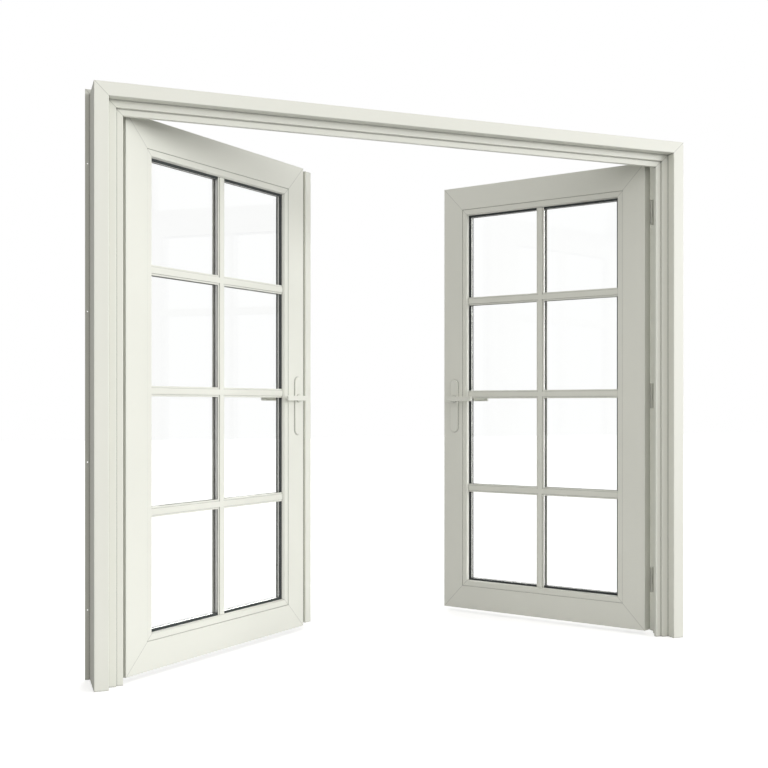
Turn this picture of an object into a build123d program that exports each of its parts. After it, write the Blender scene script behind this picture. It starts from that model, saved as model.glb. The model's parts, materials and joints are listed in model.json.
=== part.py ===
from build123d import *
from math import cos, radians, sin
import os

# A pair of glazed french doors hung in a three-sided plastic frame, with both leaves standing open.
# X runs along the frame to the right, Y away from the room, Z up, and the origin is on the floor
# in the middle of the frame's room face. All lengths are in millimetres.

# Frame: overall size and the section of its jambs and head
FRAME_WIDTH = 2370
FRAME_HEIGHT = 2100
FACE_WIDTH = 49
RECESS_DEPTH = 45
SHOULDER_WIDTH = 28
SHOULDER_STEP = 12
NOSE_WIDTH = 24
NOSE_DEPTH = 18
FRAME_WALL = 3
CASING_WIDTH = 47
CASING_DEPTH = 68
FIN_PROUD = 16.5
FIN_THICKNESS = 4

# Fixing holes through the fin of the jambs and of the head
FIXING_RADIUS = 2.5
FIXING_INSET = 8
FIXING_END_MARGIN = 250
FIXING_INNER_MARGIN = 780
FIXING_HEAD_SPACING = 1200

# Leaves: how they lie in the frame and how far they stand open
LEAF_LAP = 26
LEAF_CLEARANCE = 4
SEAL_SPACE = 5
LEAF_THICKNESS = 52
LEAF_BOTTOM = 17
MEETING_GAP = 65
LEFT_OPEN_ANGLE = 41
RIGHT_OPEN_ANGLE = 58

# Leaf section, from the leaf's outer edge to the edge of the glass in view
BEAD_LINE = 108
BEAD_WIDTH = 28
BEAD_JOINT = 0.6
REBATE_STEP = 14
CAP_DEPTH = 12
LEG_THICKNESS = 9
LEG_SLOPE = 5
LEAF_WALL = 4
CHAMBER_WIDTH = 84

# Glazing bead, gaskets, panes and the spacer between the panes
BEAD_SETBACK = 2
BEAD_FLAT = 24
GASKET_THICKNESS = 3
GASKET_SHOW = 10
PANE_THICKNESS = 4
CAVITY = 12
GLASS_CLEARANCE = 5
SPACER_SHOW = 9

# Glazing bars
BAR_WIDTH = 38
BAR_CENTRE_WIDTH = 23
BAR_FOOT_WIDTH = 34
BAR_BASE_THICKNESS = 3
BAR_CENTRE_THICKNESS = 3.2
BAR_EDGE_CHAMFER = 0.8
BAR_END_CLEARANCE = 0.3
BAR_INNER_WIDTH = 24
BAR_LIFT = 15
LITES_ACROSS = 2
LITES_HIGH = 4

# Lever handles and their plates
LEVER_HEIGHT = 1015
BACKSET_LEFT = 44
BACKSET_RIGHT = 62
PLATE_WIDTH = 44
PLATE_HEIGHT = 250
PLATE_DROP = 33
PLATE_THICKNESS = 7
PLATE_FILLET = 4
COLLAR_RADIUS = 16
COLLAR_HEIGHT = 4
NECK_RADIUS = 9
NECK_CLEARANCE = 0.4
NECK_SETBACK = 2
ARM_STANDOFF = 38
ARM_LENGTH = 144
ARM_HEEL = 14
ARM_HEIGHT = 21
ARM_THICKNESS = 10
ARM_CORNER = 4
ARM_FILLET = 2
SPINDLE_SIDE = 8
SPINDLE_BITE = 20
SPINDLE_BORE_RADIUS = 6.2

# Lock case and faceplate in the closing edge of each leaf
CASE_THICKNESS = 20
CASE_BACK = 22
CASE_ABOVE = 50
CASE_BELOW = 60
FACEPLATE_THICKNESS = 2.5
FACEPLATE_MARGIN = 40
FIT_GAP = 0.3

# Latch bolt of the left leaf
LATCH_DROP = 35
LATCH_HEIGHT = 22
LATCH_THICKNESS = 12
LATCH_TAIL = 30
LATCH_THROW = 12
LATCH_TRAVEL = 13
LATCH_BEVEL = 8

# Shoot bolts of the right leaf
ROD_RADIUS = 5
ROD_INSET = 24
ROD_GRIP = 9
ROD_RECESS = 1
ROD_TRAVEL = 16
KEEP_LENGTH = 70
KEEP_WIDTH = 28
KEEP_CORNER = 7
KEEP_THICKNESS = 2
KEEP_GAP = 0.8

# Astragal on the left leaf's closing edge
ASTRAGAL_GROOVE = 22
ASTRAGAL_GROOVE_DEPTH = 14
ASTRAGAL_SETBACK = 3
ASTRAGAL_CLEARANCE = 4
ASTRAGAL_SHORT = 8
ASTRAGAL_CAP = 3
ASTRAGAL_WALL = 3
LIP_THICKNESS = 4
LIP_REACH = 18
LIP_ROOT = 21
LIP_SPACE = 5

# Butt hinges on the far side
HINGE_LENGTH = 100
HINGE_LOW_MARGIN = 213
HINGE_HIGH_MARGIN = 205
HINGE_COUNT = 3
KNUCKLE_RADIUS = 7
KNUCKLE_GAP = 0.5
HINGE_PIN_RADIUS = 4
HINGE_PIN_CLEARANCE = 0.05
HINGE_CAP_RADIUS = 6
HINGE_CAP_HEIGHT = 4
HINGE_PLATE_THICKNESS = 3
HINGE_LEAF_PLATE = 46
HINGE_FRAME_PLATE = 25
PIN_SETBACK = 8
PIN_OFFSET = 2

# Weather seals
SEAL_WIDTH = 10
SEAL_INSET = 8
SEAL_GAP = 0.5

OVERRUN = 5

# Places worked out from the sizes above
shoulder_edge = FACE_WIDTH + SHOULDER_WIDTH
stop_edge = shoulder_edge + NOSE_WIDTH
step_depth = RECESS_DEPTH + SHOULDER_STEP
stop_back = step_depth + NOSE_DEPTH
leaf_edge = stop_edge - LEAF_LAP
rebate_edge = leaf_edge - LEAF_CLEARANCE
leaf_front = stop_back + SEAL_SPACE
leaf_back = leaf_front + LEAF_THICKNESS
frame_back = leaf_back + CASING_DEPTH
fin_front = frame_back - FIN_THICKNESS
half_width = FRAME_WIDTH / 2
leaf_width = half_width - leaf_edge - MEETING_GAP / 2
leaf_top = FRAME_HEIGHT - leaf_edge
leaf_height = leaf_top - LEAF_BOTTOM

sight_inset = BEAD_LINE + BEAD_WIDTH
rebate_inset = BEAD_LINE + REBATE_STEP
pocket_depth = LEAF_THICKNESS - LEG_THICKNESS
rear_pane_back = pocket_depth - GASKET_THICKNESS
rear_pane_front = rear_pane_back - PANE_THICKNESS
front_pane_back = rear_pane_front - CAVITY
glass_front = front_pane_back - PANE_THICKNESS
bead_back = glass_front - GASKET_THICKNESS
glass_inset = rebate_inset + GLASS_CLEARANCE
gasket_inset = sight_inset + GASKET_SHOW
spacer_inset = sight_inset + SPACER_SHOW

mid_depth = LEAF_THICKNESS / 2
latch_height = LEVER_HEIGHT - LATCH_DROP
rod_place = leaf_width - ROD_INSET
rod_bite = ROD_GRIP + ROD_TRAVEL
astragal_width = MEETING_GAP - ASTRAGAL_CLEARANCE
lip_front = LEAF_THICKNESS + LIP_SPACE
lip_back = lip_front + LIP_THICKNESS
lip_edge = MEETING_GAP + LIP_REACH
pin_depth = LEAF_THICKNESS + PIN_SETBACK

LEFT = 1
RIGHT = -1
names = {LEFT: "left", RIGHT: "right"}
open_angles = {LEFT: LEFT_OPEN_ANGLE, RIGHT: RIGHT_OPEN_ANGLE}
spindle_places = {LEFT: leaf_width - BACKSET_LEFT, RIGHT: leaf_width - BACKSET_RIGHT}

os.makedirs("parts", exist_ok=True)


def keep(piece, name):
    """Labels a finished piece and writes it to its own file."""
    piece.label = name
    export_step(piece, f"parts/{name}.step")


# Planes of a leaf. Along runs from the hinge edge to the closing edge, and back away from the room.
def along(hand):
    turn = radians(open_angles[hand])
    return Vector(hand * cos(turn), sin(turn), 0)


def back(hand):
    turn = radians(open_angles[hand])
    return Vector(-hand * sin(turn), cos(turn), 0)


def leaf_point(hand, place, depth, height):
    pin = Vector(hand * (leaf_edge - PIN_OFFSET - half_width), leaf_back + PIN_SETBACK, 0)
    flat = along(hand) * (place + PIN_OFFSET) + back(hand) * (depth - pin_depth)
    return pin + flat + Vector(0, 0, height)


def level_plane(hand, height):
    """Level plane of a leaf: its points are (place along the leaf, hand times depth)."""
    return Plane(origin=leaf_point(hand, 0, 0, height), x_dir=along(hand), z_dir=(0, 0, 1))


def face_plane(hand, depth):
    """Upright plane parallel to a leaf's face: its points are (place along the leaf, height)."""
    normal = along(hand).cross(Vector(0, 0, 1))
    return Plane(origin=leaf_point(hand, 0, depth, 0), x_dir=along(hand), z_dir=normal)


def cross_plane(hand, place):
    """Upright plane across a leaf: its points are (depth, hand times height)."""
    return Plane(origin=leaf_point(hand, place, 0, 0), x_dir=back(hand), z_dir=along(hand))


def box_points(low_a, high_a, low_b, high_b):
    return [(low_a, low_b), (high_a, low_b), (high_a, high_b), (low_a, high_b)]


# Frame: one hollow section, with a flat face, a recess, a stepped stop for the leaves, a rebate,
# a casing on the far side and a fin that laps over the wall. Its corners are mitred.
frame_outline = [
    (0, 0),
    (FACE_WIDTH, 0),
    (FACE_WIDTH, RECESS_DEPTH),
    (shoulder_edge, RECESS_DEPTH),
    (shoulder_edge, step_depth),
    (stop_edge, step_depth),
    (stop_edge, stop_back),
    (rebate_edge, stop_back),
    (rebate_edge, leaf_back),
    (CASING_WIDTH, leaf_back),
    (CASING_WIDTH, frame_back),
    (-FIN_PROUD, frame_back),
    (-FIN_PROUD, fin_front),
    (0, fin_front),
]
web_depth = stop_back - FRAME_WALL
frame_chambers = [
    box_points(FRAME_WALL, FACE_WIDTH - FRAME_WALL, FRAME_WALL, web_depth),
    box_points(FACE_WIDTH, shoulder_edge - FRAME_WALL, RECESS_DEPTH + FRAME_WALL, web_depth),
    box_points(shoulder_edge, stop_edge - FRAME_WALL, step_depth + FRAME_WALL, web_depth),
    box_points(FRAME_WALL, rebate_edge - FRAME_WALL, stop_back, leaf_back - FRAME_WALL),
    box_points(FRAME_WALL, CASING_WIDTH - FRAME_WALL, leaf_back, frame_back - FRAME_WALL),
]
fixing_heights = [
    FIXING_END_MARGIN,
    FIXING_INNER_MARGIN,
    FRAME_HEIGHT - FIXING_INNER_MARGIN,
    FRAME_HEIGHT - FIXING_END_MARGIN,
]


def frame_mitre(hand):
    return Plane(origin=(-hand * half_width, 0, FRAME_HEIGHT), z_dir=(hand, 0, 1))


def jamb_points(hand, points):
    return [(hand * (inset - half_width), depth) for inset, depth in points]


for hand in (LEFT, RIGHT):
    with BuildPart() as jamb:
        with BuildSketch():
            with BuildLine():
                Polyline(*jamb_points(hand, frame_outline), close=True)
            make_face()
            for chamber in frame_chambers:
                Polygon(*jamb_points(hand, chamber), align=None, mode=Mode.SUBTRACT)
        extrude(amount=FRAME_HEIGHT + FIN_PROUD)
        split(bisect_by=frame_mitre(hand), keep=Keep.BOTTOM)
        fixing_x = -hand * (half_width + FIXING_INSET)
        with BuildSketch(Plane.XZ.offset(-(frame_back + OVERRUN))):
            with Locations(*[(fixing_x, height) for height in fixing_heights]):
                Circle(FIXING_RADIUS)
        extrude(amount=FIN_THICKNESS + 2 * OVERRUN, mode=Mode.SUBTRACT)
    keep(jamb.part, f"jamb_{names[hand]}")

# The right leaf's upper bolt goes through the head's rebate, in the leaf's closed place
bolt_x = half_width - leaf_edge - rod_place
bolt_y = leaf_front + mid_depth
rebate_height = FRAME_HEIGHT - rebate_edge

with BuildPart() as head:
    with BuildSketch(Plane(origin=(0, 0, FRAME_HEIGHT), x_dir=(0, 1, 0), z_dir=(1, 0, 0))):
        with BuildLine():
            Polyline(*[(depth, -inset) for inset, depth in frame_outline], close=True)
        make_face()
        for chamber in frame_chambers:
            Polygon(*[(depth, -inset) for inset, depth in chamber], align=None, mode=Mode.SUBTRACT)
    extrude(amount=half_width + FIN_PROUD, both=True)
    split(bisect_by=frame_mitre(LEFT), keep=Keep.TOP)
    split(bisect_by=frame_mitre(RIGHT), keep=Keep.TOP)
    with BuildSketch(Plane.XZ.offset(-(frame_back + OVERRUN))):
        with Locations((0, FRAME_HEIGHT + FIXING_INSET)):
            with GridLocations(FIXING_HEAD_SPACING, 0, 2, 1):
                Circle(FIXING_RADIUS)
    extrude(amount=FIN_THICKNESS + 2 * OVERRUN, mode=Mode.SUBTRACT)
    with BuildSketch(Plane.XY.offset(rebate_height - OVERRUN)):
        with Locations((bolt_x, bolt_y)):
            Circle(ROD_RADIUS + KEEP_GAP)
    extrude(amount=FRAME_WALL + 2 * OVERRUN, mode=Mode.SUBTRACT)
keep(head.part, "head")

with BuildPart() as head_keep:
    with BuildSketch(Plane.XY.offset(rebate_height)):
        with Locations((bolt_x, bolt_y)):
            RectangleRounded(KEEP_LENGTH, KEEP_WIDTH, KEEP_CORNER)
            Circle(ROD_RADIUS + KEEP_GAP, mode=Mode.SUBTRACT)
    extrude(amount=-KEEP_THICKNESS)
keep(head_keep.part, "head_keep")

# Weather seal round the back of the stop, standing a little clear of the closed leaves
seal_low = leaf_edge + SEAL_INSET
seal_high = seal_low + SEAL_WIDTH

with BuildPart() as frame_seals:
    with BuildSketch(Plane.XZ.offset(-stop_back)):
        with BuildLine():
            Polyline(
                (seal_low - half_width, 0),
                (seal_low - half_width, FRAME_HEIGHT - seal_low),
                (half_width - seal_low, FRAME_HEIGHT - seal_low),
                (half_width - seal_low, 0),
                (half_width - seal_high, 0),
                (half_width - seal_high, FRAME_HEIGHT - seal_high),
                (seal_high - half_width, FRAME_HEIGHT - seal_high),
                (seal_high - half_width, 0),
                close=True,
            )
        make_face()
    extrude(amount=SEAL_GAP - SEAL_SPACE)
keep(frame_seals.part, "frame_seals")

# Hinges: the frame holds the outer knuckles and the pin, the leaf the middle knuckle, and both
# plates lie on the far faces, which are level with each other when a leaf is closed.
lowest_hinge = LEAF_BOTTOM + HINGE_LOW_MARGIN
highest_hinge = leaf_top - HINGE_HIGH_MARGIN
hinge_step = (highest_hinge - lowest_hinge) / (HINGE_COUNT - 1)
hinge_feet = [lowest_hinge + step * hinge_step - HINGE_LENGTH / 2 for step in range(HINGE_COUNT)]
knuckle_length = (HINGE_LENGTH - 2 * KNUCKLE_GAP) / 3
plate_clear = KNUCKLE_RADIUS + KNUCKLE_GAP
plate_back = LEAF_THICKNESS + HINGE_PLATE_THICKNESS
bore_radius = HINGE_PIN_RADIUS + HINGE_PIN_CLEARANCE


def closed_points(hand, points):
    """Points of a closed leaf's plan (place, depth) as plan points of the frame."""
    return [(hand * (leaf_edge + place - half_width), leaf_front + depth) for place, depth in points]


def leaf_points(hand, points):
    return [(place, hand * depth) for place, depth in points]


for hand in (LEFT, RIGHT):
    frame_plate = box_points(
        -PIN_OFFSET - HINGE_FRAME_PLATE, -PIN_OFFSET - plate_clear, LEAF_THICKNESS, plate_back
    )
    frame_tongue = box_points(
        -PIN_OFFSET - HINGE_FRAME_PLATE, -PIN_OFFSET, LEAF_THICKNESS, plate_back
    )
    frame_pin = closed_points(hand, [(-PIN_OFFSET, pin_depth)])[0]
    with BuildPart() as hinge_frame:
        for foot in hinge_feet:
            with BuildSketch(Plane.XY.offset(foot)):
                Polygon(*closed_points(hand, frame_plate), align=None)
            extrude(amount=HINGE_LENGTH)
            for start in (foot, foot + HINGE_LENGTH - knuckle_length):
                with BuildSketch(Plane.XY.offset(start)):
                    Polygon(*closed_points(hand, frame_tongue), align=None)
                    with Locations(frame_pin):
                        Circle(KNUCKLE_RADIUS)
                        Circle(bore_radius, mode=Mode.SUBTRACT)
                extrude(amount=knuckle_length)
    keep(hinge_frame.part, f"hinge_frame_{names[hand]}")

    with BuildPart() as hinge_pins:
        for foot in hinge_feet:
            with BuildSketch(Plane.XY.offset(foot)):
                with Locations(frame_pin):
                    Circle(HINGE_PIN_RADIUS)
            extrude(amount=HINGE_LENGTH)
            for start in (foot - HINGE_CAP_HEIGHT, foot + HINGE_LENGTH):
                with BuildSketch(Plane.XY.offset(start)):
                    with Locations(frame_pin):
                        Circle(HINGE_CAP_RADIUS)
                extrude(amount=HINGE_CAP_HEIGHT)
    keep(hinge_pins.part, f"hinge_pins_{names[hand]}")

    leaf_plate = box_points(
        plate_clear - PIN_OFFSET, HINGE_LEAF_PLATE, LEAF_THICKNESS, plate_back
    )
    leaf_tongue = box_points(-PIN_OFFSET, HINGE_LEAF_PLATE, LEAF_THICKNESS, plate_back)
    leaf_pin = leaf_points(hand, [(-PIN_OFFSET, pin_depth)])[0]
    with BuildPart() as hinge_leaf:
        for foot in hinge_feet:
            with BuildSketch(level_plane(hand, foot)):
                Polygon(*leaf_points(hand, leaf_plate), align=None)
            extrude(amount=HINGE_LENGTH)
            with BuildSketch(level_plane(hand, foot + knuckle_length + KNUCKLE_GAP)):
                Polygon(*leaf_points(hand, leaf_tongue), align=None)
                with Locations(leaf_pin):
                    Circle(KNUCKLE_RADIUS)
                    Circle(bore_radius, mode=Mode.SUBTRACT)
            extrude(amount=knuckle_length)
    keep(hinge_leaf.part, f"hinge_leaf_{names[hand]}")

# Leaf members and glazing beads: straight sections cut to 45 degrees at both ends
neighbours = {
    "hinge": ("bottom", "top"),
    "lock": ("bottom", "top"),
    "bottom": ("hinge", "lock"),
    "top": ("hinge", "lock"),
}


def inward(hand, side):
    """Direction from a leaf's outer edge on one side towards its middle."""
    if side == "hinge":
        return along(hand)
    if side == "lock":
        return along(hand) * -1
    if side == "bottom":
        return Vector(0, 0, 1)
    return Vector(0, 0, -1)


def mitre(hand, side, other):
    place = leaf_width if "lock" in (side, other) else 0
    height = leaf_top if "top" in (side, other) else LEAF_BOTTOM
    normal = inward(hand, side) - inward(hand, other)
    return Plane(origin=leaf_point(hand, place, 0, height), z_dir=normal)


def section_points(hand, side, points):
    if side == "hinge":
        return [(inset, hand * depth) for inset, depth in points]
    if side == "lock":
        return [(leaf_width - inset, hand * depth) for inset, depth in points]
    if side == "bottom":
        return [(depth, hand * (LEAF_BOTTOM + inset)) for inset, depth in points]
    return [(depth, hand * (leaf_top - inset)) for inset, depth in points]


def mitred_run(hand, side, outline, chambers):
    """One mitred length of a section, whose points are (inset from the leaf's edge, depth)."""
    upright = side in ("hinge", "lock")
    plane = level_plane(hand, LEAF_BOTTOM) if upright else cross_plane(hand, 0)
    with BuildPart() as run:
        with BuildSketch(plane):
            Polygon(*section_points(hand, side, outline), align=None)
            for chamber in chambers:
                Polygon(*section_points(hand, side, chamber), align=None, mode=Mode.SUBTRACT)
        extrude(amount=leaf_height if upright else leaf_width)
        for other in neighbours[side]:
            split(bisect_by=mitre(hand, side, other), keep=Keep.BOTTOM)
    return run.part


member_outline = [
    (0, 0),
    (BEAD_LINE, 0),
    (BEAD_LINE, CAP_DEPTH),
    (rebate_inset, CAP_DEPTH),
    (rebate_inset, pocket_depth),
    (sight_inset, pocket_depth),
    (sight_inset - LEG_SLOPE, LEAF_THICKNESS),
    (0, LEAF_THICKNESS),
]
inner_wall = LEAF_THICKNESS - LEAF_WALL
web_inset = LEAF_WALL + CHAMBER_WIDTH
member_chambers = [
    box_points(LEAF_WALL, web_inset, LEAF_WALL, inner_wall),
    box_points(web_inset + LEAF_WALL, BEAD_LINE - LEAF_WALL, LEAF_WALL, inner_wall),
]
bead_outline = [
    (BEAD_LINE + BEAD_JOINT, BEAD_SETBACK),
    (BEAD_LINE + BEAD_FLAT, BEAD_SETBACK),
    (sight_inset, CAP_DEPTH),
    (sight_inset, bead_back),
    (rebate_inset + BEAD_JOINT, bead_back),
    (rebate_inset + BEAD_JOINT, CAP_DEPTH),
    (BEAD_LINE + BEAD_JOINT, CAP_DEPTH),
]

# Pieces in the closing edge share these outlines
case_low = LEVER_HEIGHT - CASE_BELOW
case_high = LEVER_HEIGHT + CASE_ABOVE
plate_low = case_low - FACEPLATE_MARGIN
plate_high = case_high + FACEPLATE_MARGIN
case_front = mid_depth - CASE_THICKNESS / 2
case_back = mid_depth + CASE_THICKNESS / 2
latch_low = latch_height - LATCH_HEIGHT / 2
latch_high = latch_height + LATCH_HEIGHT / 2
latch_front = mid_depth - LATCH_THICKNESS / 2
latch_back = mid_depth + LATCH_THICKNESS / 2


def cross_box(hand, front, rear, low, high):
    return [(depth, hand * height) for depth, height in box_points(front, rear, low, high)]


def latch_hole(hand):
    return cross_box(
        hand, latch_front - FIT_GAP, latch_back + FIT_GAP, latch_low - FIT_GAP, latch_high + FIT_GAP
    )


for hand in (LEFT, RIGHT):
    keep(mitred_run(hand, "hinge", member_outline, member_chambers), f"stile_hinge_{names[hand]}")

    with BuildPart() as stile_lock:
        add(mitred_run(hand, "lock", member_outline, member_chambers))
        with BuildSketch(cross_plane(hand, leaf_width - FACEPLATE_THICKNESS)):
            Polygon(*cross_box(hand, case_front, case_back, plate_low, plate_high), align=None)
        extrude(amount=FACEPLATE_THICKNESS, mode=Mode.SUBTRACT)
        with BuildSketch(cross_plane(hand, leaf_width - LEAF_WALL)):
            Polygon(*cross_box(hand, case_front, case_back, case_low, case_high), align=None)
        extrude(amount=LEAF_WALL, mode=Mode.SUBTRACT)
        with BuildSketch(face_plane(hand, 0)):
            with Locations((spindle_places[hand], LEVER_HEIGHT)):
                Circle(SPINDLE_BORE_RADIUS)
        extrude(amount=-hand * LEAF_THICKNESS, mode=Mode.SUBTRACT)
    keep(stile_lock.part, f"stile_lock_{names[hand]}")

    for side, start in (("top", leaf_top - LEAF_WALL), ("bottom", LEAF_BOTTOM)):
        with BuildPart() as rail:
            add(mitred_run(hand, side, member_outline, member_chambers))
            if hand == RIGHT:
                with BuildSketch(level_plane(hand, start)):
                    with Locations((rod_place, hand * mid_depth)):
                        Circle(ROD_RADIUS + FIT_GAP)
                extrude(amount=LEAF_WALL, mode=Mode.SUBTRACT)
        keep(rail.part, f"rail_{side}_{names[hand]}")

    beads = [mitred_run(hand, side, bead_outline, []) for side in neighbours]
    keep(Compound(children=beads), f"beads_{names[hand]}")

# Double glazing: two panes, the grey spacer between them and a gasket on each outer face
leaf_middle = (leaf_width / 2, (LEAF_BOTTOM + leaf_top) / 2)


def clear_size(inset):
    return leaf_width - 2 * inset, leaf_height - 2 * inset


for hand in (LEFT, RIGHT):
    with BuildPart() as panes:
        for front in (glass_front, rear_pane_front):
            with BuildSketch(face_plane(hand, front)):
                with Locations(leaf_middle):
                    Rectangle(*clear_size(glass_inset))
            extrude(amount=-hand * PANE_THICKNESS)
    keep(panes.part, f"panes_{names[hand]}")

    with BuildPart() as spacer:
        with BuildSketch(face_plane(hand, front_pane_back)):
            with Locations(leaf_middle):
                Rectangle(*clear_size(glass_inset))
                Rectangle(*clear_size(spacer_inset), mode=Mode.SUBTRACT)
        extrude(amount=-hand * CAVITY)
    keep(spacer.part, f"spacer_{names[hand]}")

    with BuildPart() as gaskets:
        for front in (bead_back, rear_pane_back):
            with BuildSketch(face_plane(hand, front)):
                with Locations(leaf_middle):
                    Rectangle(*clear_size(glass_inset))
                    Rectangle(*clear_size(gasket_inset), mode=Mode.SUBTRACT)
            extrude(amount=-hand * GASKET_THICKNESS)
    keep(gaskets.part, f"gaskets_{names[hand]}")

# Glazing bars: a stepped grid on each outer face of the glass and a plain one between the panes.
# A narrow foot stands on the glass, and the bar above it runs over the gasket to the bead. The level
# bars sit a little above even spacing.
lite_width = (leaf_width - 2 * sight_inset + BAR_WIDTH) / LITES_ACROSS
lite_height = (leaf_height - 2 * sight_inset + BAR_WIDTH) / LITES_HIGH
foot_thickness = GASKET_THICKNESS + BAR_END_CLEARANCE
foot_size = clear_size(gasket_inset + BAR_END_CLEARANCE)
bar_size = clear_size(sight_inset + BAR_END_CLEARANCE)
bar_steps = [
    (BAR_FOOT_WIDTH, foot_size, foot_thickness),
    (BAR_WIDTH, bar_size, BAR_BASE_THICKNESS),
    (BAR_CENTRE_WIDTH, bar_size, BAR_CENTRE_THICKNESS),
]


def bar_grid(width, size):
    with Locations(leaf_middle):
        with GridLocations(lite_width, 0, LITES_ACROSS - 1, 1):
            Rectangle(width, size[1])
    with Locations((leaf_middle[0], leaf_middle[1] + BAR_LIFT)):
        with GridLocations(0, lite_height, 1, LITES_HIGH - 1):
            Rectangle(size[0], width)


for hand in (LEFT, RIGHT):
    for name, depth, way in (("front", glass_front, 1), ("rear", rear_pane_back, -1)):
        with BuildPart() as bars:
            rise = 0
            for width, size, thickness in bar_steps:
                with BuildSketch(face_plane(hand, depth - way * rise)):
                    bar_grid(width, size)
                extrude(amount=hand * way * thickness)
                rise += thickness
            outer = bars.faces().sort_by(Axis((0, 0, 0), back(hand) * -way))[-1]
            chamfer(outer.edges(), length=BAR_EDGE_CHAMFER)
        keep(bars.part, f"bars_{name}_{names[hand]}")

    with BuildPart() as bars_inner:
        with BuildSketch(face_plane(hand, front_pane_back)):
            bar_grid(BAR_INNER_WIDTH, clear_size(spacer_inset))
        extrude(amount=-hand * CAVITY)
    keep(bars_inner.part, f"bars_inner_{names[hand]}")

# Handles: a plate with a raised collar on each face, two levers and the spindle that joins them
for hand in (LEFT, RIGHT):
    spindle_place = spindle_places[hand]
    with BuildPart() as backplates:
        for face, way in ((0, 1), (LEAF_THICKNESS, -1)):
            with BuildSketch(face_plane(hand, face)):
                with Locations((spindle_place, LEVER_HEIGHT - PLATE_DROP)):
                    SlotOverall(PLATE_HEIGHT, PLATE_WIDTH, rotation=90)
            extrude(amount=hand * way * PLATE_THICKNESS)
            outer = backplates.faces().sort_by(Axis((0, 0, 0), back(hand) * -way))[-1]
            fillet(outer.edges(), radius=PLATE_FILLET)
            with BuildSketch(face_plane(hand, face)):
                with Locations((spindle_place, LEVER_HEIGHT)):
                    Circle(COLLAR_RADIUS)
            extrude(amount=hand * way * (PLATE_THICKNESS + COLLAR_HEIGHT))
            with BuildSketch(face_plane(hand, face)):
                with Locations((spindle_place, LEVER_HEIGHT)):
                    Circle(NECK_RADIUS + NECK_CLEARANCE)
            extrude(amount=hand * way * (PLATE_THICKNESS + COLLAR_HEIGHT), mode=Mode.SUBTRACT)
    keep(backplates.part, f"backplates_{names[hand]}")

    arm_place = spindle_place + ARM_HEEL - ARM_LENGTH / 2
    for name, face, way in (("front", 0, 1), ("rear", LEAF_THICKNESS, -1)):
        with BuildPart() as lever:
            with BuildSketch(face_plane(hand, face - way * ARM_STANDOFF)):
                with Locations((arm_place, LEVER_HEIGHT)):
                    RectangleRounded(ARM_LENGTH, ARM_HEIGHT, ARM_CORNER)
            extrude(amount=hand * way * ARM_THICKNESS)
            for end in (0, -1):
                rim = lever.faces().sort_by(Axis((0, 0, 0), back(hand)))[end]
                fillet(rim.edges(), radius=ARM_FILLET)
            with BuildSketch(face_plane(hand, face - way * NECK_SETBACK)):
                with Locations((spindle_place, LEVER_HEIGHT)):
                    Circle(NECK_RADIUS)
            extrude(amount=hand * way * (ARM_STANDOFF - NECK_SETBACK + ARM_FILLET))
            with BuildSketch(face_plane(hand, face - way * NECK_SETBACK)):
                with Locations((spindle_place, LEVER_HEIGHT)):
                    Rectangle(SPINDLE_SIDE, SPINDLE_SIDE)
            extrude(amount=hand * way * SPINDLE_BITE, mode=Mode.SUBTRACT)
        keep(lever.part, f"lever_{name}_{names[hand]}")

    spindle_reach = NECK_SETBACK + SPINDLE_BITE
    with BuildPart() as spindle:
        with BuildSketch(face_plane(hand, -spindle_reach)):
            with Locations((spindle_place, LEVER_HEIGHT)):
                Rectangle(SPINDLE_SIDE, SPINDLE_SIDE)
        extrude(amount=-hand * (LEAF_THICKNESS + 2 * spindle_reach))
    keep(spindle.part, f"spindle_{names[hand]}")

# Locks: a case in each closing stile behind a flush edge plate. The left case guides the latch
# bolt, the right one the two shoot bolts, and the right plate takes the latch.
for hand in (LEFT, RIGHT):
    spindle_place = spindle_places[hand]
    with BuildPart() as lock_case:
        with BuildSketch(face_plane(hand, case_front)):
            Polygon(
                *box_points(
                    spindle_place - CASE_BACK, leaf_width - FACEPLATE_THICKNESS, case_low, case_high
                ),
                align=None,
            )
            with Locations((spindle_place, LEVER_HEIGHT)):
                Circle(SPINDLE_BORE_RADIUS, mode=Mode.SUBTRACT)
        extrude(amount=-hand * CASE_THICKNESS)
        channel = LATCH_TAIL + LATCH_TRAVEL + FIT_GAP if hand == LEFT else LATCH_THROW
        with BuildSketch(cross_plane(hand, leaf_width - channel)):
            Polygon(*latch_hole(hand), align=None)
        extrude(amount=channel, mode=Mode.SUBTRACT)
        if hand == RIGHT:
            for start in (case_low, case_high - rod_bite - FIT_GAP):
                with BuildSketch(level_plane(hand, start)):
                    with Locations((rod_place, hand * mid_depth)):
                        Circle(ROD_RADIUS + FIT_GAP)
                extrude(amount=rod_bite + FIT_GAP, mode=Mode.SUBTRACT)
    keep(lock_case.part, f"lock_case_{names[hand]}")

    with BuildPart() as faceplate:
        with BuildSketch(cross_plane(hand, leaf_width - FACEPLATE_THICKNESS)):
            Polygon(*cross_box(hand, case_front, case_back, plate_low, plate_high), align=None)
            Polygon(*latch_hole(hand), align=None, mode=Mode.SUBTRACT)
        extrude(amount=FACEPLATE_THICKNESS)
    keep(faceplate.part, f"faceplate_{names[hand]}")

latch_tail = leaf_width - LATCH_TAIL
latch_nose = leaf_width + astragal_width + LATCH_THROW

with BuildPart() as latch_bolt:
    with BuildSketch(level_plane(LEFT, latch_low)):
        with BuildLine():
            Polyline(
                (latch_tail, latch_front),
                (latch_nose - LATCH_BEVEL, latch_front),
                (latch_nose, latch_back),
                (latch_tail, latch_back),
                close=True,
            )
        make_face()
    extrude(amount=LATCH_HEIGHT)
keep(latch_bolt.part, "latch_bolt")

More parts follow.
